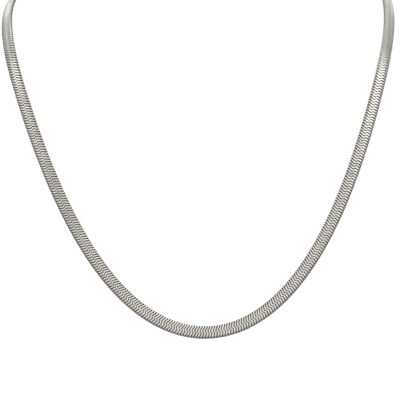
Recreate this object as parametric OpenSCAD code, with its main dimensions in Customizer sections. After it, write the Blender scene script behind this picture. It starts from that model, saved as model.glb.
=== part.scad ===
// Flexible herringbone neck chain, closed at the nape, in the form that it takes round a neck.
// Origin at the nape, halfway along the clasp and its rings. +X to the viewer's right, +Y to the
// back, +Z up. The front stretch hangs as a catenary in a plane that leans with the chest. From
// its two ends a curve climbs over each shoulder and comes in level to the clasp. The whole way
// round, measured along the middle of the band and through the clasp, is the length it is sold by.

/* [Chain] */
// Length of the closed chain, clasp included
necklace_length = 508; // [480:1:560]
// Width of the herringbone band
band_w = 4.5; // [3.5:0.1:6]
// Thickness of the herringbone band
band_t = 1.3; // [1:0.1:1.8]
// Radius of the band's rolled edges, where its thickness leaves room for it
edge_r = 0.55; // [0.3:0.05:0.8]

/* [Neck] */
// Breadth between the two upper ends of the hanging stretch
front_breadth = 124; // [110:1:132]
// How far those ends lie in front of the nape
yoke_depth = 87; // [75:1:100]
// How far those ends lie below the nape
yoke_drop = 22; // [10:1:35]
// How far the hanging stretch leans back from upright
chest_lean = 15; // [5:1:30]
// How steeply the band looks up where it lies on the shoulder
shoulder_lean = 46; // [30:1:60]
// How far each side keeps its climb before it turns over the shoulder
shoulder_reach = 50; // [35:1:60]
// How far each side keeps level before it reaches its end cap
nape_reach = 42; // [30:1:52]
// How far the clasp leans back with the skin of the nape
nape_tilt = 15; // [0:1:30]

/* [End caps] */
// Length of each cap's sleeve
sleeve_length = 5.6; // [4:0.1:8]
// Thickness of the sleeve's wall
sleeve_wall = 0.35; // [0.3:0.05:0.6]
// Metal that closes the sleeve's inner end
sleeve_end = 0.9; // [0.6:0.1:1.5]
// Length of the tapered tongue that carries the eye
tongue_length = 2.2; // [1.5:0.1:3]
// Thickness of the tongue
tongue_t = 1.1; // [0.9:0.1:1.4]
// Radius of each eye, to the middle of its wire
eye_r = 1.5; // [1.4:0.05:2]
// Thickness of the eyes' wire
eye_wire = 1; // [0.8:0.05:1.05]

/* [Rings and clasp] */
// Radius of the ring on the clasp's tail, to the middle of its wire
tail_ring_r = 1.9; // [1.8:0.05:2.4]
// Radius of the ring that the clasp catches, to the middle of its wire
catch_ring_r = 2.3; // [2.2:0.05:2.8]
// Thickness of both rings' wire
ring_wire = 0.8; // [0.6:0.05:0.85]
// How far the rings lean out of level
ring_lean = 30; // [0:5:45]
// Length of the clasp from its nose to the end of its tail
clasp_length = 13; // [11:0.5:16]
// Radius of the claw's bend, to the middle of its metal
claw_r = 1.8; // [1.7:0.05:2.2]
// Thickness of the claw round its bend and along its back
claw_wire = 1.6; // [1.2:0.05:1.7]
// Thickness of the gate that closes the claw
gate_wire = 1.1; // [0.8:0.05:1.3]
// Thickness of the lever that stands out of the back
lever_wire = 0.9; // [0.7:0.05:1.1]
// How far the lever stands out of the back
lever_reach = 0.8; // [0.5:0.1:1.2]

/* [Fits] */
// Gap between the band and its cap, and where one link bears on the next
gap = 0.1; // [0.1:0.01:0.15]

/* [Hidden] */
soft_steel = [0.78, 0.77, 0.74];
bright_steel = [0.84, 0.84, 0.83];
round_fn = 48;
// The narrowest flat that the rolled edges leave on each side of the band.
least_flat = 0.1;
rings_on_front = 20;
rings_on_shoulder = 18;
length_steps = 40;
solve_steps = 40;

// Which way the face of the band looks. Each row is a share of the way from the middle of the
// front to the cap, the turn from straight ahead and the lean above level.
SHARE = 0;
TURN = 1;
LEAN = 2;
face_rows = [
    [0.00,   0, chest_lean],
    [0.23,   7, chest_lean],
    [0.45,  24, chest_lean + 5],
    [0.64,  66, shoulder_lean],
    [0.83, 124, shoulder_lean - 6],
    [0.97, 178, nape_tilt + 2],
    [1.00, 180, nape_tilt]
];

// The hook's tip lies this far round the bend, and the lever stands at this share of the back.
hook_angle = 285;
lever_share = 0.5;
lever_lean = 25;

// Places along the hardware at the nape. Each link bears on the next across the gap.
link_step = eye_wire / 2 + ring_wire / 2 + gap;
claw_step = claw_wire / 2 + ring_wire / 2 + gap;
clasp_run = clasp_length - claw_wire / 2 - eye_wire / 2;
eye_to_eye = 2 * (eye_r + catch_ring_r + tail_ring_r) + clasp_run - 3 * link_step - claw_step;
cap_eye_x = eye_to_eye / 2;
catch_ring_x = -cap_eye_x + eye_r - link_step + catch_ring_r;
nose_x = catch_ring_x + catch_ring_r - claw_step;
tail_ring_x = cap_eye_x - eye_r + link_step - tail_ring_r;
tail_eye_x = nose_x + clasp_run - eye_r;
tongue_x = cap_eye_x + eye_r;
sleeve_x = tongue_x + tongue_length;
band_end_x = sleeve_x + sleeve_end + gap;
mouth_x = sleeve_x + sleeve_length;

// Hyperbolic functions, with the argument in radians.
function hsin(v) = (exp(v) - exp(-v)) / 2;
function hcos(v) = (exp(v) + exp(-v)) / 2;
function inverse_hsin(v) = ln(v + sqrt(v * v + 1));

function unit(v) = v / norm(v);
function total(list) = [for (v = list) 1] * list;
function turned_back(list) = [for (i = [len(list) - 1 : -1 : 0]) list[i]];

// The hanging stretch. sag is the catenary's own length: a smaller one hangs deeper.
half_front = front_breadth / 2;
yoke_point = [half_front, -yoke_depth, -yoke_drop];
function climb(sag, x) = sag * (hcos(x / sag) - 1);
function front_half_length(sag) = sag * hsin(half_front / sag);
function leaned(x, up) = [x, up * sin(chest_lean), up * cos(chest_lean)];
function front_point(sag, s) =
    let (x = sag * inverse_hsin(s / sag))
    yoke_point - leaned(half_front, climb(sag, half_front)) + leaned(x, climb(sag, x));
function front_heading(sag, s) = unit(leaned(1, s / sag));

// The stretch over the shoulder, a cubic curve from the yoke point to the cap's mouth.
mouth_point = [mouth_x, 0, 0];
function shoulder_posts(sag) = [
    yoke_point,
    yoke_point + shoulder_reach * front_heading(sag, front_half_length(sag)),
    mouth_point + [nape_reach, 0, 0],
    mouth_point
];
function shoulder_point(p, f) =
    pow(1 - f, 3) * p[0] + 3 * pow(1 - f, 2) * f * p[1] + 3 * (1 - f) * f * f * p[2] + pow(f, 3) * p[3];
function shoulder_heading(p, f) =
    unit(pow(1 - f, 2) * (p[1] - p[0]) + 2 * (1 - f) * f * (p[2] - p[1]) + f * f * (p[3] - p[2]));
function shoulder_run(p, f) = f <= 0 ? 0 : total([for (i = [1 : length_steps])
    norm(shoulder_point(p, f * i / length_steps) - shoulder_point(p, f * (i - 1) / length_steps))]);

// The sag that makes the closed chain as long as it is meant to be, found by halving.
function half_length(sag) = front_half_length(sag) + shoulder_run(shoulder_posts(sag), 1) + mouth_x;
function solve_sag(low, high, steps) =
    let (middle = (low + high) / 2)
    steps == 0 ? middle
    : half_length(middle) > necklace_length / 2 ? solve_sag(middle, high, steps - 1)
    : solve_sag(low, middle, steps - 1);
sag = solve_sag(half_front / 4, half_front * 2, solve_steps);
front_half = front_half_length(sag);
posts = shoulder_posts(sag);
half_band = front_half + shoulder_run(posts, 1);

// The way the band looks at a share of its half length, square to the heading. It is read
// between the rows of the table on a cubic that runs through each row without a kink.
last_row = len(face_rows) - 1;
function row_before(share) = max([for (i = [0 : last_row - 1]) face_rows[i][SHARE] <= share ? i : 0]);
function row_slope(i, column) =
    let (low = face_rows[max(i - 1, 0)], high = face_rows[min(i + 1, last_row)])
    (high[column] - low[column]) / (high[SHARE] - low[SHARE]);
function face_angle(share, column) =
    let (i = row_before(share), low = face_rows[i], high = face_rows[i + 1],
        span = high[SHARE] - low[SHARE], f = (share - low[SHARE]) / span)
    low[column] + (high[column] - low[column]) * f * f * (3 - 2 * f)
    + span * f * (1 - f) * (row_slope(i, column) * (1 - f) - row_slope(i + 1, column) * f);
function looking(turn, lean) = [sin(turn) * cos(lean), -cos(turn) * cos(lean), sin(lean)];
function face(share, heading) =
    let (wish = looking(face_angle(share, TURN), face_angle(share, LEAN)))
    unit(wish - (wish * heading) * heading);

// Stations from the middle of the front to the end inside the cap: [point, heading, face].
function station(point, heading, share) = [point, heading, face(share, heading)];
front_stations = [for (i = [0 : rings_on_front])
    let (s = front_half * i / rings_on_front)
    station(front_point(sag, s), front_heading(sag, s), s / half_band)];
shoulder_stations = [for (i = [1 : rings_on_shoulder])
    let (f = i / rings_on_shoulder)
    station(shoulder_point(posts, f), shoulder_heading(posts, f),
        (front_half + shoulder_run(posts, f)) / half_band)];
cap_station = station([band_end_x, 0, 0], [-1, 0, 0], 1);
half_stations = concat(front_stations, shoulder_stations, [cap_station]);

// The other half is the mirror image, walked towards the middle of the front.
function mirrored(v) = [-v[0], v[1], v[2]];
function other_half(list) = [for (i = [len(list) - 1 : -1 : 1])
    [mirrored(list[i][0]), -mirrored(list[i][1]), mirrored(list[i][2])]];
stations = concat(other_half(half_stations), half_stations);

// The band's cross-section, [across, through]: flat faces with rolled edges.
rolled_r = min(edge_r, (band_t - least_flat) / 2);
corner_angles = [12, 45, 78];
corner_signs = [[1, 1], [-1, 1], [-1, -1], [1, -1]];
function corner(sign, angles) = [for (a = angles) [
    sign[0] * (band_w / 2 - rolled_r + rolled_r * cos(a)),
    sign[1] * (band_t / 2 - rolled_r + rolled_r * sin(a))]];
band_section = [for (i = [0 : 3])
    each corner(corner_signs[i], i % 2 == 0 ? corner_angles : turned_back(corner_angles))];
function band_loop(st) = [for (q = band_section) st[0] + q[0] * cross(st[1], st[2]) + q[1] * st[2]];

module herringbone_band() {
    sides = len(band_section);
    last = len(stations) - 1;
    points = [for (st = stations) each band_loop(st)];
    walls = [for (r = [0 : last - 1], k = [0 : sides - 1])
        let (n = (k + 1) % sides, a = r * sides, b = a + sides)
        each [[a + k, b + n, b + k], [a + k, a + n, b + n]]];
    first_end = [for (k = [0 : sides - 1]) k];
    last_end = [for (k = first_end) last * sides + k];
    color(soft_steel) polyhedron(points, concat([turned_back(first_end)], walls, [last_end]));
}

// Everything at the nape is drawn upright and then leaned with the skin.
module on_nape() {
    rotate([nape_tilt, 0, 0]) children();
}

// A rectangle with rounded corners: a cross of two rectangles and four circles.
module rounded_rectangle(width, height, r) {
    square([width - 2 * r, height], center = true);
    square([width, height - 2 * r], center = true);
    for (sign = corner_signs)
        translate([sign[0] * (width / 2 - r), sign[1] * (height / 2 - r)]) circle(r, $fn = round_fn);
}

// A bar along X from x0 to x1 with the band's cross-section, grown on every side.
module grown_bar(x0, x1, grow) {
    translate([x0, 0, 0]) rotate([90, 0, 90]) linear_extrude(x1 - x0)
        rotate(90) rounded_rectangle(band_w + 2 * grow, band_t + 2 * grow, rolled_r + grow);
}

module wire_ring(r, wire) {
    rotate_extrude($fn = round_fn) translate([r, 0]) circle(d = wire, $fn = round_fn);
}

// An eye lies in the plane of the clasp.
module eye(x) {
    translate([x, 0, 0]) rotate([90, 0, 0]) wire_ring(eye_r, eye_wire);
}

// A ring that joins two eyes crosses their plane.
module crossing_ring(x, r) {
    color(bright_steel) on_nape() translate([x, 0, 0]) rotate([ring_lean, 0, 0]) wire_ring(r, ring_wire);
}

// Sleeve, tongue and eye of the cap on the +X side. They are soldered, so they are one solid.
module end_cap() {
    outer_grow = sleeve_wall + gap;
    color(bright_steel) on_nape() difference() {
        union() {
            grown_bar(sleeve_x, mouth_x, outer_grow);
            tongue(band_w + 2 * outer_grow);
            eye(cap_eye_x);
        }
        grown_bar(sleeve_x + sleeve_end, mouth_x + gap, gap);
    }
}

// A flat taper from the sleeve down to the eye.
module tongue(sleeve_w) {
    root = sleeve_w / 2 - rolled_r;
    tip = eye_wire;
    inner_x = sleeve_x + sleeve_end / 2;
    translate([0, tongue_t / 2, 0]) rotate([90, 0, 0]) linear_extrude(tongue_t) polygon([
        [tongue_x, -tip], [sleeve_x, -root], [inner_x, -root],
        [inner_x, root], [sleeve_x, root], [tongue_x, tip]
    ]);
}

module end_cap_right() {
    end_cap();
}

module end_cap_left() {
    mirror([1, 0, 0]) end_cap();
}

module tail_ring() {
    crossing_ring(tail_ring_x, tail_ring_r);
}

module catch_ring() {
    crossing_ring(catch_ring_x, catch_ring_r);
}

// The claw's middle line runs round the nose and then along the back, an arc that meets the
// bend without a kink and ends at the tail's eye.
bend_x = nose_x + claw_r;
neck_x = tail_eye_x - eye_r;
back_length = neck_x - bend_x;
back_r = (pow(back_length, 2) + pow(claw_r, 2)) / (2 * claw_r);
back_angle = asin(back_length / back_r);
function bend_point(angle) = [bend_x + claw_r * cos(angle), 0, claw_r * sin(angle)];
back_centre = [bend_x, 0, claw_r - back_r];
function back_point(share) = back_centre + back_r * [sin(back_angle * share), 0, cos(back_angle * share)];

// A bent wire in the clasp's plane, round a centre from one angle to another.
module bent_wire(centre, r, from, to) {
    translate(centre) rotate([90, 0, 0]) rotate(from)
        rotate_extrude(angle = to - from, $fn = round_fn)
            translate([r, 0]) circle(d = claw_wire, $fn = round_fn);
}

// A rod with round ends between two points of the clasp's plane.
module rod(a, b, wire) {
    run = b - a;
    translate(a) rotate([0, atan2(run[0], run[2]), 0]) cylinder(h = norm(run), d = wire, $fn = round_fn);
    for (end = [a, b]) translate(end) sphere(d = wire, $fn = round_fn);
}

// Claw, gate, lever and tail eye in one piece.
module clasp() {
    lever_foot = back_point(lever_share);
    lever_rise = claw_wire / 2 + lever_reach - lever_wire / 2;
    color(bright_steel) on_nape() {
        bent_wire([bend_x, 0, 0], claw_r, 90, hook_angle);
        bent_wire(back_centre, back_r, 90 - back_angle, 90);
        rod(bend_point(hook_angle), back_point(1), gate_wire);
        rod(lever_foot, lever_foot + lever_rise * [-sin(lever_lean), 0, cos(lever_lean)], lever_wire);
        eye(tail_eye_x);
    }
}

herringbone_band();
end_cap_left();
end_cap_right();
tail_ring();
catch_ring();
clasp();
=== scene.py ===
"""Links, caps, rings, clasp, finishes, light and camera of a herringbone neck chain."""
import bisect
import math
import random

import bmesh
import bpy
from mathutils import Matrix, Vector


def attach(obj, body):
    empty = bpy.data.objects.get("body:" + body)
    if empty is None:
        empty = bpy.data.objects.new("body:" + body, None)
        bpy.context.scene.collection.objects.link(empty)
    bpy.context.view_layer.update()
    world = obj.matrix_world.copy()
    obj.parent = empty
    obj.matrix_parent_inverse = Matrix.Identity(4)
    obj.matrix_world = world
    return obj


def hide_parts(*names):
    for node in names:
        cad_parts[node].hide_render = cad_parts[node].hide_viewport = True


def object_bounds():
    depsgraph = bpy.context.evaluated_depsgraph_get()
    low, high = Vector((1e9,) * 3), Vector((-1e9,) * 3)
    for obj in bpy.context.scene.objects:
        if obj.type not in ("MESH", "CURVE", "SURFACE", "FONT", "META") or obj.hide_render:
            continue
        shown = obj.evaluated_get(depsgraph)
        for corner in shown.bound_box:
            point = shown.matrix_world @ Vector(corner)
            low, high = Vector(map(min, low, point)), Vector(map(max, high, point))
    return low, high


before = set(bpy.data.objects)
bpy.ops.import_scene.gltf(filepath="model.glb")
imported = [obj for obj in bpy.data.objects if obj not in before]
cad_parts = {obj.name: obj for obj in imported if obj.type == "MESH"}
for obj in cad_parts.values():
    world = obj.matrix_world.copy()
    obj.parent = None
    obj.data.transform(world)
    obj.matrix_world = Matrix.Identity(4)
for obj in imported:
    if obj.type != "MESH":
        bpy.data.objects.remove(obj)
cad_low, cad_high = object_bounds()

# The chain's sizes, as the construction has them.
MM = 0.001
NECKLACE_LENGTH = 508 * MM
BAND_W = 4.5 * MM
BAND_T = 1.3 * MM
EDGE_R = 0.55 * MM
FRONT_BREADTH = 124 * MM
YOKE_DEPTH = 87 * MM
YOKE_DROP = 22 * MM
SHOULDER_REACH = 50 * MM
NAPE_REACH = 42 * MM
CHEST_LEAN = 15
SHOULDER_LEAN = 46
NAPE_TILT = 15
SLEEVE_LENGTH = 5.6 * MM
SLEEVE_WALL = 0.35 * MM
SLEEVE_END = 0.9 * MM
TONGUE_LENGTH = 2.2 * MM
EYE_R = 1.5 * MM
EYE_WIRE = 1.0 * MM
TAIL_RING_R = 1.9 * MM
CATCH_RING_R = 2.3 * MM
RING_WIRE = 0.8 * MM
RING_LEAN = 30
CLASP_LENGTH = 13 * MM
CLAW_R = 1.8 * MM
CLAW_WIRE = 1.6 * MM
GATE_WIRE = 1.1 * MM
LEVER_WIRE = 0.9 * MM
LEVER_REACH = 0.8 * MM
GAP = 0.1 * MM

# Places along the hardware at the nape, each link bearing on the next.
LINK_STEP = EYE_WIRE / 2 + RING_WIRE / 2 + GAP
CLAW_STEP = CLAW_WIRE / 2 + RING_WIRE / 2 + GAP
CLASP_RUN = CLASP_LENGTH - CLAW_WIRE / 2 - EYE_WIRE / 2
CAP_EYE_X = EYE_R + CATCH_RING_R + TAIL_RING_R + (CLASP_RUN - 3 * LINK_STEP - CLAW_STEP) / 2
CATCH_RING_X = -CAP_EYE_X + EYE_R - LINK_STEP + CATCH_RING_R
NOSE_X = CATCH_RING_X + CATCH_RING_R - CLAW_STEP
TAIL_RING_X = CAP_EYE_X - EYE_R + LINK_STEP - TAIL_RING_R
TAIL_EYE_X = NOSE_X + CLASP_RUN - EYE_R
TONGUE_X = CAP_EYE_X + EYE_R
SLEEVE_X = TONGUE_X + TONGUE_LENGTH
BAND_END_X = SLEEVE_X + SLEEVE_END + GAP
MOUTH_X = SLEEVE_X + SLEEVE_LENGTH

# Which way the band looks: share of the way from the front's middle to the cap, turn, lean.
FACE_ROWS = [
    (0.00, 0, CHEST_LEAN),
    (0.23, 7, CHEST_LEAN),
    (0.45, 24, CHEST_LEAN + 5),
    (0.64, 66, SHOULDER_LEAN),
    (0.83, 124, SHOULDER_LEAN - 6),
    (0.97, 178, NAPE_TILT + 2),
    (1.00, 180, NAPE_TILT),
]

# One link: a flattened ring round the band, and a tongue that reaches through the next ring.
LINK_PITCH = 0.93 * MM
BAR_W = 0.76 * MM
BAR_T = 0.34 * MM
WIRE_SIDES = 5
LINK_SHARP_ANGLE = 50
# The ring's stations across one face of the band, from the inner edge to the outer one. A bar
# leans one way, jogs back in the middle and leans again. Each row is the share of the half width,
# how far the bar is carried along the chain, in pitches, the share of its width, and how much
# painted shade lies on its crown and on its flanks: the shade in the gaps between the bars, and
# at the edges the shade of the band's rounded sides.
SHARE, SHIFT, WIDTH, CROWN_SHADE, FLANK_SHADE = range(5)
FACE_STATIONS = [
    (0.82, 0.29, 0.78, 0.00, 1.00),
    (0.58, -0.03, 1.00, 0.00, 0.35),
    (0.17, -0.43, 1.00, 0.00, 0.35),
    (-0.16, 0.14, 1.00, 0.00, 0.40),
    (-0.78, -0.36, 0.94, 0.10, 1.00),
]
# The same where the ring turns the band's edges, and how far out of the band's middle that is.
# Their crowns carry painted shade, the outer edge's darker than the inner's.
INNER_EDGE = (0.99, 0.34, 0.95, 0.70, 1.00)
OUTER_EDGE = (-0.99, -0.36, 1.05, 1.00, 1.00)
EDGE_OUT = 0.45
# How dark the tongue inside the band is painted: painted shade for the hollow between the bars.
TONGUE_PAINTED_SHADE = 0.9
# Along the outer rim the crowns are painted dark too, as painted shade of the edge that turns
# down away from the light: where that starts and ends across the band, and how dark they go.
RIM_SHADE_START = -0.54 * BAND_W / 2
RIM_SHADE_END = -0.76 * BAND_W / 2
RIM_PAINTED_SHADE = 0.8
# The tongue's width and thickness, where it starts and ends along the chain, in pitches, and how
# far out of the band's middle its foot and its tip lie.
TONGUE_W = 3.6 * MM
TONGUE_THICK = 0.14 * MM
TONGUE_ROOT = 0.4
TONGUE_REACH = 1.55
TONGUE_FOOT = -0.26 * MM
TONGUE_TIP = 0.20 * MM
# How much further along the chain a link's back lies than its front.
BACK_SHIFT = 0.5 * LINK_PITCH
# How far a link's inner side is carried along the chain for each metre across it, as the bend of
# the chain drags it. Each row is a place along the chain from the middle of the front, and how far.
LINK_SKEWS = [
    (-NECKLACE_LENGTH / 2, -0.02),
    (-45 * MM, -0.02),
    (-8 * MM, 0.03),
    (28 * MM, -0.06),
    (NECKLACE_LENGTH / 2, -0.06),
]
# How unevenly the links lie: the spread of their lean in degrees and of their place.
LINK_TILT = 0.7
LINK_NUDGE = 0.005 * MM
# Each link takes its grain from a stretch of its own.
GRAIN_STEP = 7 * LINK_PITCH
# The circle that the wire is spun round, in units of half the wire's thickness.
SPIN_R = 4.0

# The claw: how far round its hook's tip lies, its back's arc, and the lever's place and lean.
HOOK_ANGLE = 285
LEVER_SHARE = 0.5
LEVER_LEAN = 25
BEND_X = NOSE_X + CLAW_R
BACK_LENGTH = TAIL_EYE_X - EYE_R - BEND_X
BACK_R = (BACK_LENGTH**2 + CLAW_R**2) / (2 * CLAW_R)
BACK_ANGLE = math.asin(BACK_LENGTH / BACK_R)
NECK_SHARE = 0.72
TIP_SHARE = 0.78

# The cap's taper from its sleeve to its eye: share of the tongue's length, of the sleeve's
# thickness and of its width.
TAPER = [
    (0.05, 0.93, 0.97),
    (0.14, 0.74, 0.91),
    (0.30, 0.56, 0.82),
    (0.60, 0.50, 0.60),
    (1.00, 0.46, 0.38),
]
# The cap's mouth: how much its rim is rounded, in how many steps, and what counts as its edge.
RIM_ROUND = 0.08 * MM
RIM_STEPS = 3
RIM_EDGE_ANGLE = 1.0
# The width of a jump ring's cut in degrees, and how far round the ring each one is turned.
RING_CUT = 2.4
TAIL_CUT_TURN = 120
CATCH_CUT_TURN = 60
# How finely the round forms are divided.
RING_SIDES = 24
RING_STEPS = 56
NOSE_STEPS = 26
BACK_STEPS = 24
ROD_CUTS = 8
CORNER_STEPS = 6
SHARP_ANGLE = 20
EPS = 0.001 * MM
WELD = 0.0001 * MM

# Finishes. Colours are in linear light, and a pair goes from dull to bright.
LINK_COLOURS = (0.65, 0.632, 0.59, 1), (0.74, 0.718, 0.67, 1)
LINK_ROUGHNESS = 0.24, 0.42
# The colour of the painted shade: in the gaps between the bars, on the tongues and at the band's
# edges.
PAINTED_SHADE_COLOUR = (0.07, 0.064, 0.056, 1)
BRIGHT_COLOURS = (0.585, 0.572, 0.542, 1), (0.68, 0.665, 0.63, 1)
BRIGHT_ROUGHNESS = 0.11, 0.22
LINK_SPECULAR = 0.15
SCRATCH_DEPTH = 0.01 * MM
SCRATCH_STRENGTH = 0.25
GRAIN_STRENGTH = 0.3
# How many times a pattern goes to the metre along each axis.
CLOUD_SCALE = 900.0
SCRATCH_SCALE = (400.0, 6000.0, 6000.0)
GRAIN_SCALE = (9000.0, 900.0, 9000.0)
FLOOR_COLOUR = (0.77, 0.77, 0.77, 1)
FLOOR_ROUGHNESS = 0.8

rng = random.Random(11)


class Route:
    """The band's middle line, walked from the middle of the front, with s negative on the left."""

    STEPS = 400
    RUN_STEPS = 40
    HALVINGS = 40

    def __init__(self):
        self.half = FRONT_BREADTH / 2
        low, high = self.half / 4, self.half * 2
        for _ in range(self.HALVINGS):
            self.set_sag((low + high) / 2)
            total = self.front_half + self.shoulder_run(self.RUN_STEPS)[-1] + MOUTH_X
            if total > NECKLACE_LENGTH / 2:
                low = self.sag
            else:
                high = self.sag
        self.runs = self.shoulder_run(self.STEPS)
        self.half_band = self.front_half + self.runs[-1]

    def set_sag(self, sag):
        self.sag = sag
        self.front_half = sag * math.sinh(self.half / sag)
        yoke = Vector((self.half, -YOKE_DEPTH, -YOKE_DROP))
        mouth = Vector((MOUTH_X, 0, 0))
        self.middle = yoke - self.leaned(self.half, self.climb(self.half))
        heading = self.leaned(1, self.front_half / sag).normalized()
        level = Vector((NAPE_REACH, 0, 0))
        self.posts = [yoke, yoke + SHOULDER_REACH * heading, mouth + level, mouth]

    def climb(self, x):
        return self.sag * (math.cosh(x / self.sag) - 1)

    def leaned(self, x, up):
        lean = math.radians(CHEST_LEAN)
        return Vector((x, up * math.sin(lean), up * math.cos(lean)))

    def shoulder_point(self, f):
        a, b, c, d = self.posts
        g = 1 - f
        return g**3 * a + 3 * g * g * f * b + 3 * g * f * f * c + f**3 * d

    def shoulder_heading(self, f):
        a, b, c, d = self.posts
        g = 1 - f
        return (g * g * (b - a) + 2 * g * f * (c - b) + f * f * (d - c)).normalized()

    def shoulder_run(self, steps):
        runs = [0.0]
        for i in range(steps):
            step = self.shoulder_point((i + 1) / steps) - self.shoulder_point(i / steps)
            runs.append(runs[-1] + step.length)
        return runs

    def half_way(self, s):
        """Point and heading at s, on the right-hand half."""
        if s <= self.front_half:
            x = self.sag * math.asinh(s / self.sag)
            heading = self.leaned(1, s / self.sag).normalized()
            return self.middle + self.leaned(x, self.climb(x)), heading
        run = s - self.front_half
        if run >= self.runs[-1]:
            return Vector((MOUTH_X - (run - self.runs[-1]), 0, 0)), Vector((-1, 0, 0))
        i = bisect.bisect_right(self.runs, run) - 1
        f = (i + (run - self.runs[i]) / (self.runs[i + 1] - self.runs[i])) / self.STEPS
        return self.shoulder_point(f), self.shoulder_heading(f)

    def face(self, s, heading):
        share = min(s / self.half_band, 1.0)
        turn, lean = (math.radians(cubic_between(FACE_ROWS, share, column)) for column in (1, 2))
        level = Vector((math.sin(turn), -math.cos(turn), 0))
        wish = math.cos(lean) * level + math.sin(lean) * Vector((0, 0, 1))
        return (wish - wish.dot(heading) * heading).normalized()

    def frame_at(self, s):
        """Point, heading and face at s, which may be negative."""
        point, heading = self.half_way(abs(s))
        face = self.face(abs(s), heading)
        if s < 0:
            flip = Vector((-1, 1, 1))
            point, heading, face = point * flip, -(heading * flip), face * flip
        return point, heading, face

    def place(self, s, inward, out):
        """A point of the band, at inward from its middle towards the neck and out of its face."""
        point, heading, face = self.frame_at(s)
        return point - inward * heading.cross(face) + out * face


def cubic_between(rows, share, column):
    """A value between the rows of a table, on a cubic that has no kink at a row."""
    last = len(rows) - 1
    i = max([k for k in range(last) if rows[k][0] <= share], default=0)

    def slope(k):
        low, high = rows[max(k - 1, 0)], rows[min(k + 1, last)]
        return (high[column] - low[column]) / (high[0] - low[0])

    low, high = rows[i], rows[i + 1]
    span = high[0] - low[0]
    f = (share - low[0]) / span
    swing = span * f * (1 - f) * (slope(i) * (1 - f) - slope(i + 1) * f)
    return low[column] + (high[column] - low[column]) * f * f * (3 - 2 * f) + swing


# Materials


def new_material(name):
    material = bpy.data.materials.new(name)
    material.use_nodes = True
    tree = material.node_tree
    shader = tree.nodes["Principled BSDF"]
    return material, tree, shader


def add_node(tree, kind, **inputs):
    node = tree.nodes.new(kind)
    for name, value in inputs.items():
        node.inputs[name.replace("_", " ")].default_value = value
    return node


def polished_metal():
    """Bright metal with fine scratches from wear and a faint cloudiness."""
    material, tree, shader = new_material("bright_silver_metal")
    shader.inputs["Metallic"].default_value = 1.0
    place = add_node(tree, "ShaderNodeTexCoord")
    clouds = add_node(tree, "ShaderNodeTexNoise", Scale=CLOUD_SCALE, Detail=4.0)
    tint = add_node(tree, "ShaderNodeMix")
    tint.data_type = "RGBA"
    tint.inputs["A"].default_value, tint.inputs["B"].default_value = BRIGHT_COLOURS
    least, most = BRIGHT_ROUGHNESS
    rough = add_node(tree, "ShaderNodeMapRange", To_Min=least, To_Max=most)
    stretch = add_node(tree, "ShaderNodeMapping", Scale=SCRATCH_SCALE)
    scratches = add_node(tree, "ShaderNodeTexNoise", Scale=1.0, Detail=6.0)
    bump = add_node(tree, "ShaderNodeBump", Strength=SCRATCH_STRENGTH, Distance=SCRATCH_DEPTH)
    link = tree.links.new
    link(place.outputs["Object"], clouds.inputs["Vector"])
    link(place.outputs["Object"], stretch.inputs["Vector"])
    link(stretch.outputs["Vector"], scratches.inputs["Vector"])
    link(clouds.outputs["Fac"], tint.inputs["Factor"])
    link(clouds.outputs["Fac"], rough.inputs["Value"])
    link(tint.outputs["Result"], shader.inputs["Base Color"])
    link(rough.outputs["Result"], shader.inputs["Roughness"])
    link(scratches.outputs["Fac"], bump.inputs["Height"])
    link(bump.outputs["Normal"], shader.inputs["Normal"])
    return material


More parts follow.
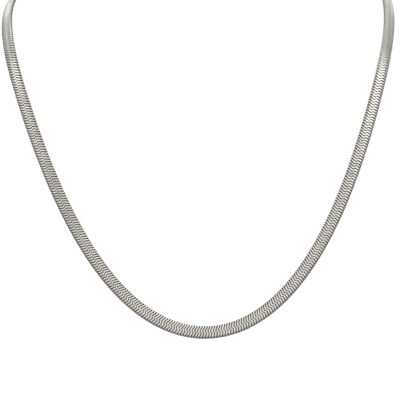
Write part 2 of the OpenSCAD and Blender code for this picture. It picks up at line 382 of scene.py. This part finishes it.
def woven_metal():
    """Link metal: bright on the bars' crowns, with painted shade on their flanks, on the tongues
    and at the band's edges, where it is also made less metallic.
    """
    material, tree, shader = new_material("woven_silver_metal")
    shader.inputs["Specular IOR Level"].default_value = LINK_SPECULAR
    painted_shade, tone, weave = (add_node(tree, "ShaderNodeAttribute") for _ in range(3))
    painted_shade.attribute_name = "painted_shade"
    tone.attribute_name = "tone"
    weave.attribute_name = "weave"
    grain = add_node(tree, "ShaderNodeMapping", Scale=GRAIN_SCALE)
    drawn = add_node(tree, "ShaderNodeTexNoise", Scale=1.0, Detail=3.0)
    bright = add_node(tree, "ShaderNodeMix")
    bright.data_type = "RGBA"
    bright.inputs["A"].default_value, bright.inputs["B"].default_value = LINK_COLOURS
    colour = add_node(tree, "ShaderNodeMix")
    colour.data_type = "RGBA"
    colour.inputs["B"].default_value = PAINTED_SHADE_COLOUR
    least, most = LINK_ROUGHNESS
    rough = add_node(tree, "ShaderNodeMapRange", To_Min=least, To_Max=most)
    metallic_outside_shade = add_node(tree, "ShaderNodeMapRange", To_Min=1.0, To_Max=0.0)
    bump = add_node(tree, "ShaderNodeBump", Strength=GRAIN_STRENGTH, Distance=SCRATCH_DEPTH)
    across = add_node(tree, "ShaderNodeSeparateXYZ")
    # Painted shade along the outer rim, by how far across the band a point lies.
    rim = add_node(
        tree, "ShaderNodeMapRange", From_Min=RIM_SHADE_START, From_Max=RIM_SHADE_END, To_Max=RIM_PAINTED_SHADE
    )
    # The deeper of the painted shade at the stations and the painted shade along the outer rim.
    deepest_painted_shade = add_node(tree, "ShaderNodeMath")
    deepest_painted_shade.operation = "MAXIMUM"
    link = tree.links.new
    link(weave.outputs["Vector"], across.inputs["Vector"])
    link(across.outputs["Y"], rim.inputs["Value"])
    link(painted_shade.outputs["Fac"], deepest_painted_shade.inputs[0])
    link(rim.outputs["Result"], deepest_painted_shade.inputs[1])
    shade_amount = deepest_painted_shade.outputs["Value"]
    # Where painted shade lies, the metal is made less metallic, so that it reflects less.
    link(shade_amount, metallic_outside_shade.inputs["Value"])
    link(metallic_outside_shade.outputs["Result"], shader.inputs["Metallic"])
    link(weave.outputs["Vector"], grain.inputs["Vector"])
    link(grain.outputs["Vector"], drawn.inputs["Vector"])
    link(tone.outputs["Fac"], bright.inputs["Factor"])
    link(bright.outputs["Result"], colour.inputs["A"])
    link(shade_amount, colour.inputs["Factor"])
    link(colour.outputs["Result"], shader.inputs["Base Color"])
    link(drawn.outputs["Fac"], rough.inputs["Value"])
    link(rough.outputs["Result"], shader.inputs["Roughness"])
    link(drawn.outputs["Fac"], bump.inputs["Height"])
    link(bump.outputs["Normal"], shader.inputs["Normal"])
    return material


# The woven band


def ring_stations():
    """Round the band's section: how far out of its middle, and a row of the tables above."""
    front = [(1.0, row) for row in FACE_STATIONS]
    outer = [(EDGE_OUT, OUTER_EDGE), (-EDGE_OUT, OUTER_EDGE)]
    back = [(-1.0, row) for row in reversed(FACE_STATIONS)]
    inner = [(-EDGE_OUT, INNER_EDGE), (EDGE_OUT, INNER_EDGE)]
    return front + outer + back + inner


def link_mesh():
    """One link at the origin, along X, with its width along Y and its thickness along Z.

    The wire is spun round on a wide circle, and then each station goes to its own place.
    """
    stations = ring_stations()
    bm = bmesh.new()
    painted_shade = bm.verts.layers.float.new("painted_shade")
    circle = bmesh.ops.create_circle(bm, segments=WIRE_SIDES, radius=1.0)
    turn_down = Matrix.Rotation(math.pi, 4, "Z")
    bmesh.ops.transform(bm, matrix=turn_down, verts=circle["verts"])
    bmesh.ops.translate(bm, vec=(0, SPIN_R, 0), verts=circle["verts"])
    bmesh.ops.spin(
        bm, geom=bm.verts[:] + bm.edges[:], cent=(0, 0, 0), axis=(1, 0, 0),
        angle=math.tau, steps=len(stations), use_merge=True,
    )
    crown = math.cos(math.pi / WIRE_SIDES)
    flank = math.cos(math.pi / 2 - math.tau / WIRE_SIDES)
    unit_t = BAR_T / (1 + crown)
    half_w, half_t = BAND_W / 2 - crown * unit_t, BAND_T / 2 - crown * unit_t
    centres = [Vector((0, row[SHARE] * half_w, out * half_t)) for out, row in stations]
    for v in bm.verts:
        i = round(math.atan2(v.co.z, v.co.y) / math.tau * len(stations)) % len(stations)
        radial = math.hypot(v.co.y, v.co.z) - SPIN_R
        chord = centres[(i + 1) % len(stations)] - centres[i - 1]
        outward = Vector((0, chord.z, -chord.y)).normalized()
        if outward.dot(centres[i]) < 0:
            outward.negate()
        out, row = stations[i]
        along = v.co.x / flank * BAR_W / 2 * row[WIDTH]
        # Painted shade: the crown's or the flank's, as the station's row gives it.
        v[painted_shade] = row[CROWN_SHADE] if radial > 0.5 else row[FLANK_SHADE]
        v.co = centres[i] + radial * unit_t * outward
        v.co.x = along + row[SHIFT] * LINK_PITCH + BACK_SHIFT * (1 - out) / 2
    add_tongue(bm, painted_shade)
    bmesh.ops.recalc_face_normals(bm, faces=bm.faces)
    return bm


def add_tongue(bm, painted_shade):
    """The slanted plate that leads from a link's back bar through the next link's ring, painted
    dark as the shade inside the band.
    """
    root = TONGUE_ROOT * LINK_PITCH
    reach = TONGUE_REACH * LINK_PITCH - root
    rise = TONGUE_TIP - TONGUE_FOOT
    cube = bmesh.ops.create_cube(bm, size=1.0)["verts"]
    size = Matrix.Diagonal((math.hypot(reach, rise), TONGUE_W, TONGUE_THICK, 1))
    slope = Matrix.Rotation(-math.atan2(rise, reach), 4, "Y")
    middle = Matrix.Translation((root + reach / 2, 0, (TONGUE_FOOT + TONGUE_TIP) / 2))
    bmesh.ops.transform(bm, matrix=middle @ slope @ size, verts=cube)
    for v in cube:
        v[painted_shade] = TONGUE_PAINTED_SHADE


def straight_links(count):
    """A straight row of links from an array, as one mesh."""
    mesh = bpy.data.meshes.new("one_link")
    bm = link_mesh()
    bm.to_mesh(mesh)
    bm.free()
    row = bpy.data.objects.new("one_link", mesh)
    bpy.context.scene.collection.objects.link(row)
    array = row.modifiers.new("row", "ARRAY")
    array.count = count
    array.use_relative_offset = False
    array.use_constant_offset = True
    array.constant_offset_displace = (LINK_PITCH, 0, 0)
    graph = bpy.context.evaluated_depsgraph_get()
    made = bpy.data.meshes.new_from_object(row.evaluated_get(graph))
    size = len(mesh.vertices)
    bpy.data.objects.remove(row)
    return made, size


def woven_band(route, material):
    """All the links, laid on the route as a straight row would be bent onto it."""
    half = route.half_band + MOUTH_X - BAND_END_X
    # One link fewer than fits, because the last tongue reaches past its own ring.
    count = int(2 * half / LINK_PITCH) - 1
    mesh, size = straight_links(count)
    mesh.name = "herringbone_links"
    reach = [v.co.x for v in mesh.vertices]
    start = -(min(reach) + max(reach)) / 2
    tone = mesh.attributes.new("tone", "FLOAT", "POINT")
    weave = mesh.attributes.new("weave", "FLOAT_VECTOR", "POINT")
    for k in range(count):
        shade = rng.uniform(0.0, 1.0)
        tilt = math.radians(rng.gauss(0, LINK_TILT))
        nudge = rng.gauss(0, LINK_NUDGE)
        x_middle = k * LINK_PITCH
        skew = cubic_between(LINK_SKEWS, start + x_middle, 1)
        for i in range(k * size, (k + 1) * size):
            v = mesh.vertices[i]
            x, y, z = v.co.x - x_middle, v.co.y, v.co.z
            tone.data[i].value = shade
            weave.data[i].vector = (x + k * GRAIN_STEP, y, z)
            s = start + x_middle + nudge + x * math.cos(tilt) - z * math.sin(tilt) + skew * y
            v.co = route.place(s, y, x * math.sin(tilt) + z * math.cos(tilt))
    mesh.materials.append(material)
    mesh.shade_smooth()
    mesh.set_sharp_from_angle(angle=math.radians(LINK_SHARP_ANGLE))
    piece = bpy.data.objects.new("herringbone_links", mesh)
    bpy.context.scene.collection.objects.link(piece)
    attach(piece, "root")
    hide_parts("herringbone_band")
    return piece


# Hardware at the nape. It is drawn flat, in a plane that then stands up along the chain, and is
# leaned with the skin at the very end.

# A form drawn along Z, with its thickness along X and its width along Y, laid along X.
LAID_ALONG = Matrix(((0, 0, 1, 0), (1, 0, 0, 0), (0, 1, 0, 0), (0, 0, 0, 1)))
UPRIGHT = Matrix.Rotation(math.pi / 2, 4, "X")
ON_NAPE = Matrix.Rotation(math.radians(NAPE_TILT), 4, "X")


def bend_wire(bm, section, centre, angle, steps, closed=False):
    """Bends a wire's section, a loop of verts and edges, round a centre in the XY plane."""
    return bmesh.ops.spin(
        bm, geom=section, cent=centre, axis=(0, 0, 1), angle=angle, steps=steps, use_merge=closed
    )["geom_last"]


def wire_section(bm, x, y, wire, sides):
    """The round section of a wire that runs square to X, with its middle at x and y."""
    circle = bmesh.ops.create_circle(bm, segments=sides, radius=wire / 2)["verts"]
    stand = Matrix.Translation((x, y, 0)) @ Matrix.Rotation(math.pi / 2, 4, "X")
    bmesh.ops.transform(bm, matrix=stand, verts=circle)
    return circle + list(dict.fromkeys(edge for v in circle for edge in v.link_edges))


def wire_ring(r, wire, cut=0.0):
    """A ring of round wire in the XY plane. A cut, in degrees, leaves it open as a jump ring is."""
    bm = bmesh.new()
    section = wire_section(bm, r, 0, wire, RING_SIDES)
    if cut:
        bend_wire(bm, section, (0, 0, 0), math.radians(360 - cut), RING_STEPS)
        bmesh.ops.holes_fill(bm, edges=[edge for edge in bm.edges if edge.is_boundary])
    else:
        bend_wire(bm, section, (0, 0, 0), math.tau, RING_STEPS, closed=True)
    return bm


def eye(x):
    """A closed eye in the plane of the clasp."""
    bm = wire_ring(EYE_R, EYE_WIRE)
    bmesh.ops.transform(bm, matrix=Matrix.Translation((x, 0, 0)) @ UPRIGHT, verts=bm.verts)
    return bm


def crossing_ring(node, x, r, cut_turn, material):
    """A jump ring that joins two eyes and crosses their plane. Its cut is turned out of the way."""
    bm = wire_ring(r, RING_WIRE, RING_CUT)
    lean = Matrix.Rotation(math.radians(RING_LEAN), 4, "X")
    turn = Matrix.Rotation(math.radians(cut_turn), 4, "Z")
    place = ON_NAPE @ Matrix.Translation((x, 0, 0)) @ lean @ turn
    bmesh.ops.transform(bm, matrix=place, verts=bm.verts)
    return soldered(node, [bm], material)


def capsule(start, finish, wire):
    """A rod with round ends between two points of the XY plane."""
    bm = bmesh.new()
    verts = bmesh.ops.create_uvsphere(
        bm, u_segments=RING_SIDES, v_segments=RING_SIDES // 2, radius=wire / 2
    )["verts"]
    run = Vector((*finish, 0)) - Vector((*start, 0))
    upper = [v for v in verts if v.co.z > EPS]
    belt = [v for v in verts if abs(v.co.z) <= EPS]
    bmesh.ops.translate(bm, vec=(0, 0, run.length), verts=upper)
    bmesh.ops.translate(bm, vec=(0, 0, run.length / 2), verts=belt)
    along = [edge for edge in bm.edges if edge.calc_length() > run.length / 3]
    bmesh.ops.subdivide_edges(bm, edges=along, cuts=ROD_CUTS, use_grid_fill=True)
    turn = run.to_track_quat("Z", "X").to_matrix().to_4x4()
    bmesh.ops.transform(bm, matrix=Matrix.Translation((*start, 0)) @ turn, verts=bm.verts)
    return bm


def top_face(bm):
    return max(bm.faces, key=lambda face: face.calc_center_median().z)


def base_face(bm):
    return min(bm.faces, key=lambda face: face.calc_center_median().z)


def cap_sleeve():
    """The sleeve that the band goes into, with its mouth, and the taper that carries the eye."""
    grow = SLEEVE_WALL + GAP
    thick, width = BAND_T + 2 * grow, BAND_W + 2 * grow
    bm = bmesh.new()
    bmesh.ops.create_grid(bm, x_segments=1, y_segments=1, size=0.5)
    bmesh.ops.scale(bm, vec=(thick, width, 1), verts=bm.verts)
    bmesh.ops.bevel(
        bm, geom=bm.verts[:], offset=EDGE_R + grow, offset_type="OFFSET", segments=CORNER_STEPS,
        profile=0.5, affect="VERTICES", material=-1,
    )
    bmesh.ops.translate(bm, vec=(0, 0, SLEEVE_X), verts=bm.verts)
    rise(bm, bm.faces[:], SLEEVE_LENGTH, keep=True)
    taper(bm, thick, width)
    mouth = top_face(bm)
    bmesh.ops.inset_region(bm, faces=[mouth], thickness=SLEEVE_WALL)
    rise(bm, [mouth], SLEEVE_END - SLEEVE_LENGTH)
    rim = [edge for edge in bm.edges if all(abs(v.co.z - MOUTH_X) < EPS for v in edge.verts)
           and edge.calc_face_angle(0) > RIM_EDGE_ANGLE]
    bmesh.ops.bevel(
        bm, geom=rim, offset=RIM_ROUND, offset_type="OFFSET", segments=RIM_STEPS,
        profile=0.5, affect="EDGES", material=-1,
    )
    bmesh.ops.transform(bm, matrix=LAID_ALONG, verts=bm.verts)
    return bm


def rise(bm, faces, step, keep=False):
    """Extrudes faces along Z and gives the new verts. The faces go, unless they close a base."""
    made = bmesh.ops.extrude_face_region(bm, geom=faces)["geom"]
    verts = [part for part in made if isinstance(part, bmesh.types.BMVert)]
    bmesh.ops.translate(bm, vec=(0, 0, step), verts=verts)
    if not keep:
        bmesh.ops.delete(bm, geom=faces, context="FACES_ONLY")
    return verts


def taper(bm, thick, width):
    """Draws the sleeve's inner end down to the eye, through the sections of TAPER."""
    last_thick, last_width, last_place = thick, width, 0.0
    for place, thick_share, width_share in TAPER:
        now_thick, now_width = thick * thick_share, width * width_share
        verts = rise(bm, [base_face(bm)], -(place - last_place) * TONGUE_LENGTH)
        bmesh.ops.scale(bm, vec=(now_thick / last_thick, now_width / last_width, 1), verts=verts)
        last_thick, last_width, last_place = now_thick, now_width, place


def end_cap(node, side, material):
    """One end cap. Its sleeve, taper and eye are soldered into one."""
    parts = [cap_sleeve(), eye(CAP_EYE_X)]
    for bm in parts:
        bmesh.ops.transform(bm, matrix=ON_NAPE @ Matrix.Diagonal((side, 1, 1, 1)), verts=bm.verts)
    return soldered(node, parts, material)


def claw_body():
    """The claw from the hook's tip round the nose and along the back, thinner to both its ends."""
    bm = bmesh.new()
    section = wire_section(bm, CLAW_R, 0, CLAW_WIRE, RING_SIDES)
    to_tip = Matrix.Rotation(math.radians(HOOK_ANGLE), 4, "Z")
    bmesh.ops.transform(bm, matrix=to_tip, verts=bm.verts)
    round_nose = math.radians(90 - HOOK_ANGLE)
    top = bend_wire(bm, section, (0, 0, 0), round_nose, NOSE_STEPS)
    bend_wire(bm, top, (0, CLAW_R - BACK_R, 0), -BACK_ANGLE, BACK_STEPS)
    bmesh.ops.holes_fill(bm, edges=[edge for edge in bm.edges if edge.is_boundary])
    for v in bm.verts:
        shape_claw(v)
    bmesh.ops.translate(bm, vec=(BEND_X, 0, 0), verts=bm.verts)
    return bm


def shape_claw(v):
    """Moves a vert of the claw to or from its middle line, by how far along the claw it lies."""
    back_centre = Vector((0, CLAW_R - BACK_R, 0))
    on_back = v.co.x > EPS and abs((v.co - back_centre).length - BACK_R) < CLAW_WIRE
    if on_back:
        turn = math.atan2(v.co.x, v.co.y - back_centre.y)
        middle = back_centre + BACK_R * Vector((math.sin(turn), math.cos(turn), 0))
        share = turn / BACK_ANGLE
        swell = 1 - (1 - NECK_SHARE) * share * share
    else:
        turn = math.atan2(v.co.y, v.co.x) % math.tau
        middle = CLAW_R * Vector((math.cos(turn), math.sin(turn), 0))
        share = (turn - math.pi / 2) / (math.radians(HOOK_ANGLE) - math.pi / 2)
        swell = 1 - (1 - TIP_SHARE) * max(share, 0) ** 2
    v.co = middle + (v.co - middle) * swell


def clasp(material):
    """A closed claw with its gate, lever and tail eye, in one."""
    hook_turn = math.radians(HOOK_ANGLE)
    hook = (BEND_X + CLAW_R * math.cos(hook_turn), CLAW_R * math.sin(hook_turn))
    foot_turn = BACK_ANGLE * LEVER_SHARE
    foot = (BEND_X + BACK_R * math.sin(foot_turn), CLAW_R - BACK_R + BACK_R * math.cos(foot_turn))
    rise_by = CLAW_WIRE / 2 + LEVER_REACH - LEVER_WIRE / 2
    lean = math.radians(LEVER_LEAN)
    lever_tip = (foot[0] - rise_by * math.sin(lean), foot[1] + rise_by * math.cos(lean))
    flat_parts = [
        claw_body(),
        capsule(hook, (TAIL_EYE_X - EYE_R, 0), GATE_WIRE),
        capsule(foot, lever_tip, LEVER_WIRE),
    ]
    for bm in flat_parts:
        bmesh.ops.transform(bm, matrix=UPRIGHT, verts=bm.verts)
    parts = flat_parts + [eye(TAIL_EYE_X)]
    for bm in parts:
        bmesh.ops.transform(bm, matrix=ON_NAPE, verts=bm.verts)
    return soldered("clasp", parts, material)


def soldered(node, parts, material):
    """Makes one piece of closed meshes that are soldered together, in place of a node's solid."""
    name = f"polished_{node}"
    solids = []
    for bm in parts:
        bmesh.ops.remove_doubles(bm, verts=bm.verts, dist=WELD)
        bmesh.ops.recalc_face_normals(bm, faces=bm.faces)
        mesh = bpy.data.meshes.new(name)
        bm.to_mesh(mesh)
        bm.free()
        solid = bpy.data.objects.new(name, mesh)
        bpy.context.scene.collection.objects.link(solid)
        solids.append(solid)
    body, *others = solids
    for other in others:
        joint = body.modifiers.new("solder", "BOOLEAN")
        joint.operation = "UNION"
        joint.solver = "MANIFOLD"
        joint.object = other
    graph = bpy.context.evaluated_depsgraph_get()
    made = bpy.data.meshes.new_from_object(body.evaluated_get(graph))
    for solid in solids:
        bpy.data.objects.remove(solid)
    made.name = name
    made.materials.clear()
    made.materials.append(material)
    made.shade_smooth()
    made.set_sharp_from_angle(angle=math.radians(SHARP_ANGLE))
    piece = bpy.data.objects.new(name, made)
    bpy.context.scene.collection.objects.link(piece)
    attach(piece, "root")
    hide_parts(node)
    return piece


# Stage, light and camera

FLOOR_Z = -0.2
FLOOR_SIZE = 40.0
HORIZON_GLOW = 0.42
ZENITH_GLOW = 0.85
# What the camera sees past the floor, as bright as the far floor is.
BACKDROP_GLOW = 0.92
OVERHEAD_SUN = 1.6
SUN_BREADTH = 60
# Name, place, breadth in metres and power in watts.
SOFTBOXES = [
    ("front", (0.1, -1.6, 0.35), 1.1, 2.0),
    ("key", (0.35, -1.1, 1.1), 0.6, 2.1),
    ("left", (-1.12, -1.0, 0.56), 0.9, 4.2),
    ("right", (1.05, -1.05, 0.36), 0.7, 3.8),
    ("back_left", (-0.7, 1.3, 0.7), 0.7, 2.0),
    ("back_right", (0.95, 1.1, 0.2), 0.5, 1.0),
]
# The camera that the photograph's middle line was fitted with.
CAMERA_DISTANCE = 900 * MM
CAMERA_ELEVATION = 14.0
CAMERA_ROLL = -1.71
CAMERA_LENS = 237.6
CLIP_START = 0.01
CLIP_END = 100
AIM_X = -1.17 * MM
AIM_RISE = 47.16 * MM


def make_floor():
    bm = bmesh.new()
    bmesh.ops.create_grid(bm, x_segments=1, y_segments=1, size=FLOOR_SIZE)
    bmesh.ops.translate(bm, vec=(0, 0, FLOOR_Z), verts=bm.verts)
    mesh = bpy.data.meshes.new("floor")
    bm.to_mesh(mesh)
    bm.free()
    material, _, shader = new_material("pale_floor")
    shader.inputs["Base Color"].default_value = FLOOR_COLOUR
    shader.inputs["Roughness"].default_value = FLOOR_ROUGHNESS
    mesh.materials.append(material)
    floor = bpy.data.objects.new("floor", mesh)
    bpy.context.scene.collection.objects.link(floor)


def make_light(name, place, target, size, power):
    data = bpy.data.lights.new(name, "AREA")
    data.shape = "SQUARE"
    data.size = size
    data.energy = power
    lamp = bpy.data.objects.new(name, data)
    lamp.location = place
    lamp.rotation_euler = (Vector(target) - Vector(place)).to_track_quat("-Z", "Y").to_euler()
    bpy.context.scene.collection.objects.link(lamp)


def light_studio():
    """A pale room, brighter overhead than at the horizon, with the softboxes and a wide sun."""
    world = bpy.data.worlds.new("studio")
    bpy.context.scene.world = world
    world.use_nodes = True
    tree = world.node_tree
    tree.nodes.clear()
    direction = tree.nodes.new("ShaderNodeTexCoord")
    axes = tree.nodes.new("ShaderNodeSeparateXYZ")
    ramp = tree.nodes.new("ShaderNodeValToRGB")
    ramp.color_ramp.elements[0].position = 0.0
    ramp.color_ramp.elements[0].color = (*[HORIZON_GLOW] * 3, 1)
    ramp.color_ramp.elements[1].position = 1.0
    ramp.color_ramp.elements[1].color = (*[ZENITH_GLOW] * 3, 1)
    room = tree.nodes.new("ShaderNodeBackground")
    backdrop = tree.nodes.new("ShaderNodeBackground")
    backdrop.inputs["Color"].default_value = (*[BACKDROP_GLOW] * 3, 1)
    ray = tree.nodes.new("ShaderNodeLightPath")
    mix = tree.nodes.new("ShaderNodeMixShader")
    output = tree.nodes.new("ShaderNodeOutputWorld")
    link = tree.links.new
    link(direction.outputs["Generated"], axes.inputs["Vector"])
    link(axes.outputs["Z"], ramp.inputs["Fac"])
    link(ramp.outputs["Color"], room.inputs["Color"])
    link(ray.outputs["Is Camera Ray"], mix.inputs["Fac"])
    link(room.outputs["Background"], mix.inputs[1])
    link(backdrop.outputs["Background"], mix.inputs[2])
    link(mix.outputs["Shader"], output.inputs["Surface"])
    middle = (cad_low + cad_high) / 2
    for name, place, size, power in SOFTBOXES:
        make_light(name, place, middle, size, power)
    sun = bpy.data.lights.new("overhead", "SUN")
    sun.energy = OVERHEAD_SUN
    sun.angle = math.radians(SUN_BREADTH)
    overhead = bpy.data.objects.new("overhead", sun)
    bpy.context.scene.collection.objects.link(overhead)
    bpy.context.scene.view_settings.view_transform = "Standard"


def make_camera(route):
    data = bpy.data.cameras.new("camera")
    data.lens = CAMERA_LENS
    data.clip_start = CLIP_START
    data.clip_end = CLIP_END
    camera = bpy.data.objects.new("camera", data)
    e, roll = math.radians(CAMERA_ELEVATION), math.radians(CAMERA_ROLL)
    forward = Vector((0, math.cos(e), -math.sin(e)))
    up = Vector((0, math.sin(e), math.cos(e)))
    right = Vector((1, 0, 0))
    turned_right = math.cos(roll) * right + math.sin(roll) * up
    turned_up = math.cos(roll) * up - math.sin(roll) * right
    aim = Vector((AIM_X, route.middle.y, route.middle.z + AIM_RISE))
    turn = Matrix((turned_right, turned_up, -forward)).transposed()
    camera.matrix_world = Matrix.Translation(aim - CAMERA_DISTANCE * forward) @ turn.to_4x4()
    bpy.context.scene.collection.objects.link(camera)
    bpy.context.scene.camera = camera


route = Route()
make_camera(route)
make_floor()
light_studio()
woven_band(route, woven_metal())
bright = polished_metal()
end_cap("end_cap_left", -1, bright)
end_cap("end_cap_right", 1, bright)
crossing_ring("tail_ring", TAIL_RING_X, TAIL_RING_R, TAIL_CUT_TURN, bright)
crossing_ring("catch_ring", CATCH_RING_X, CATCH_RING_R, CATCH_CUT_TURN, bright)
clasp(bright)
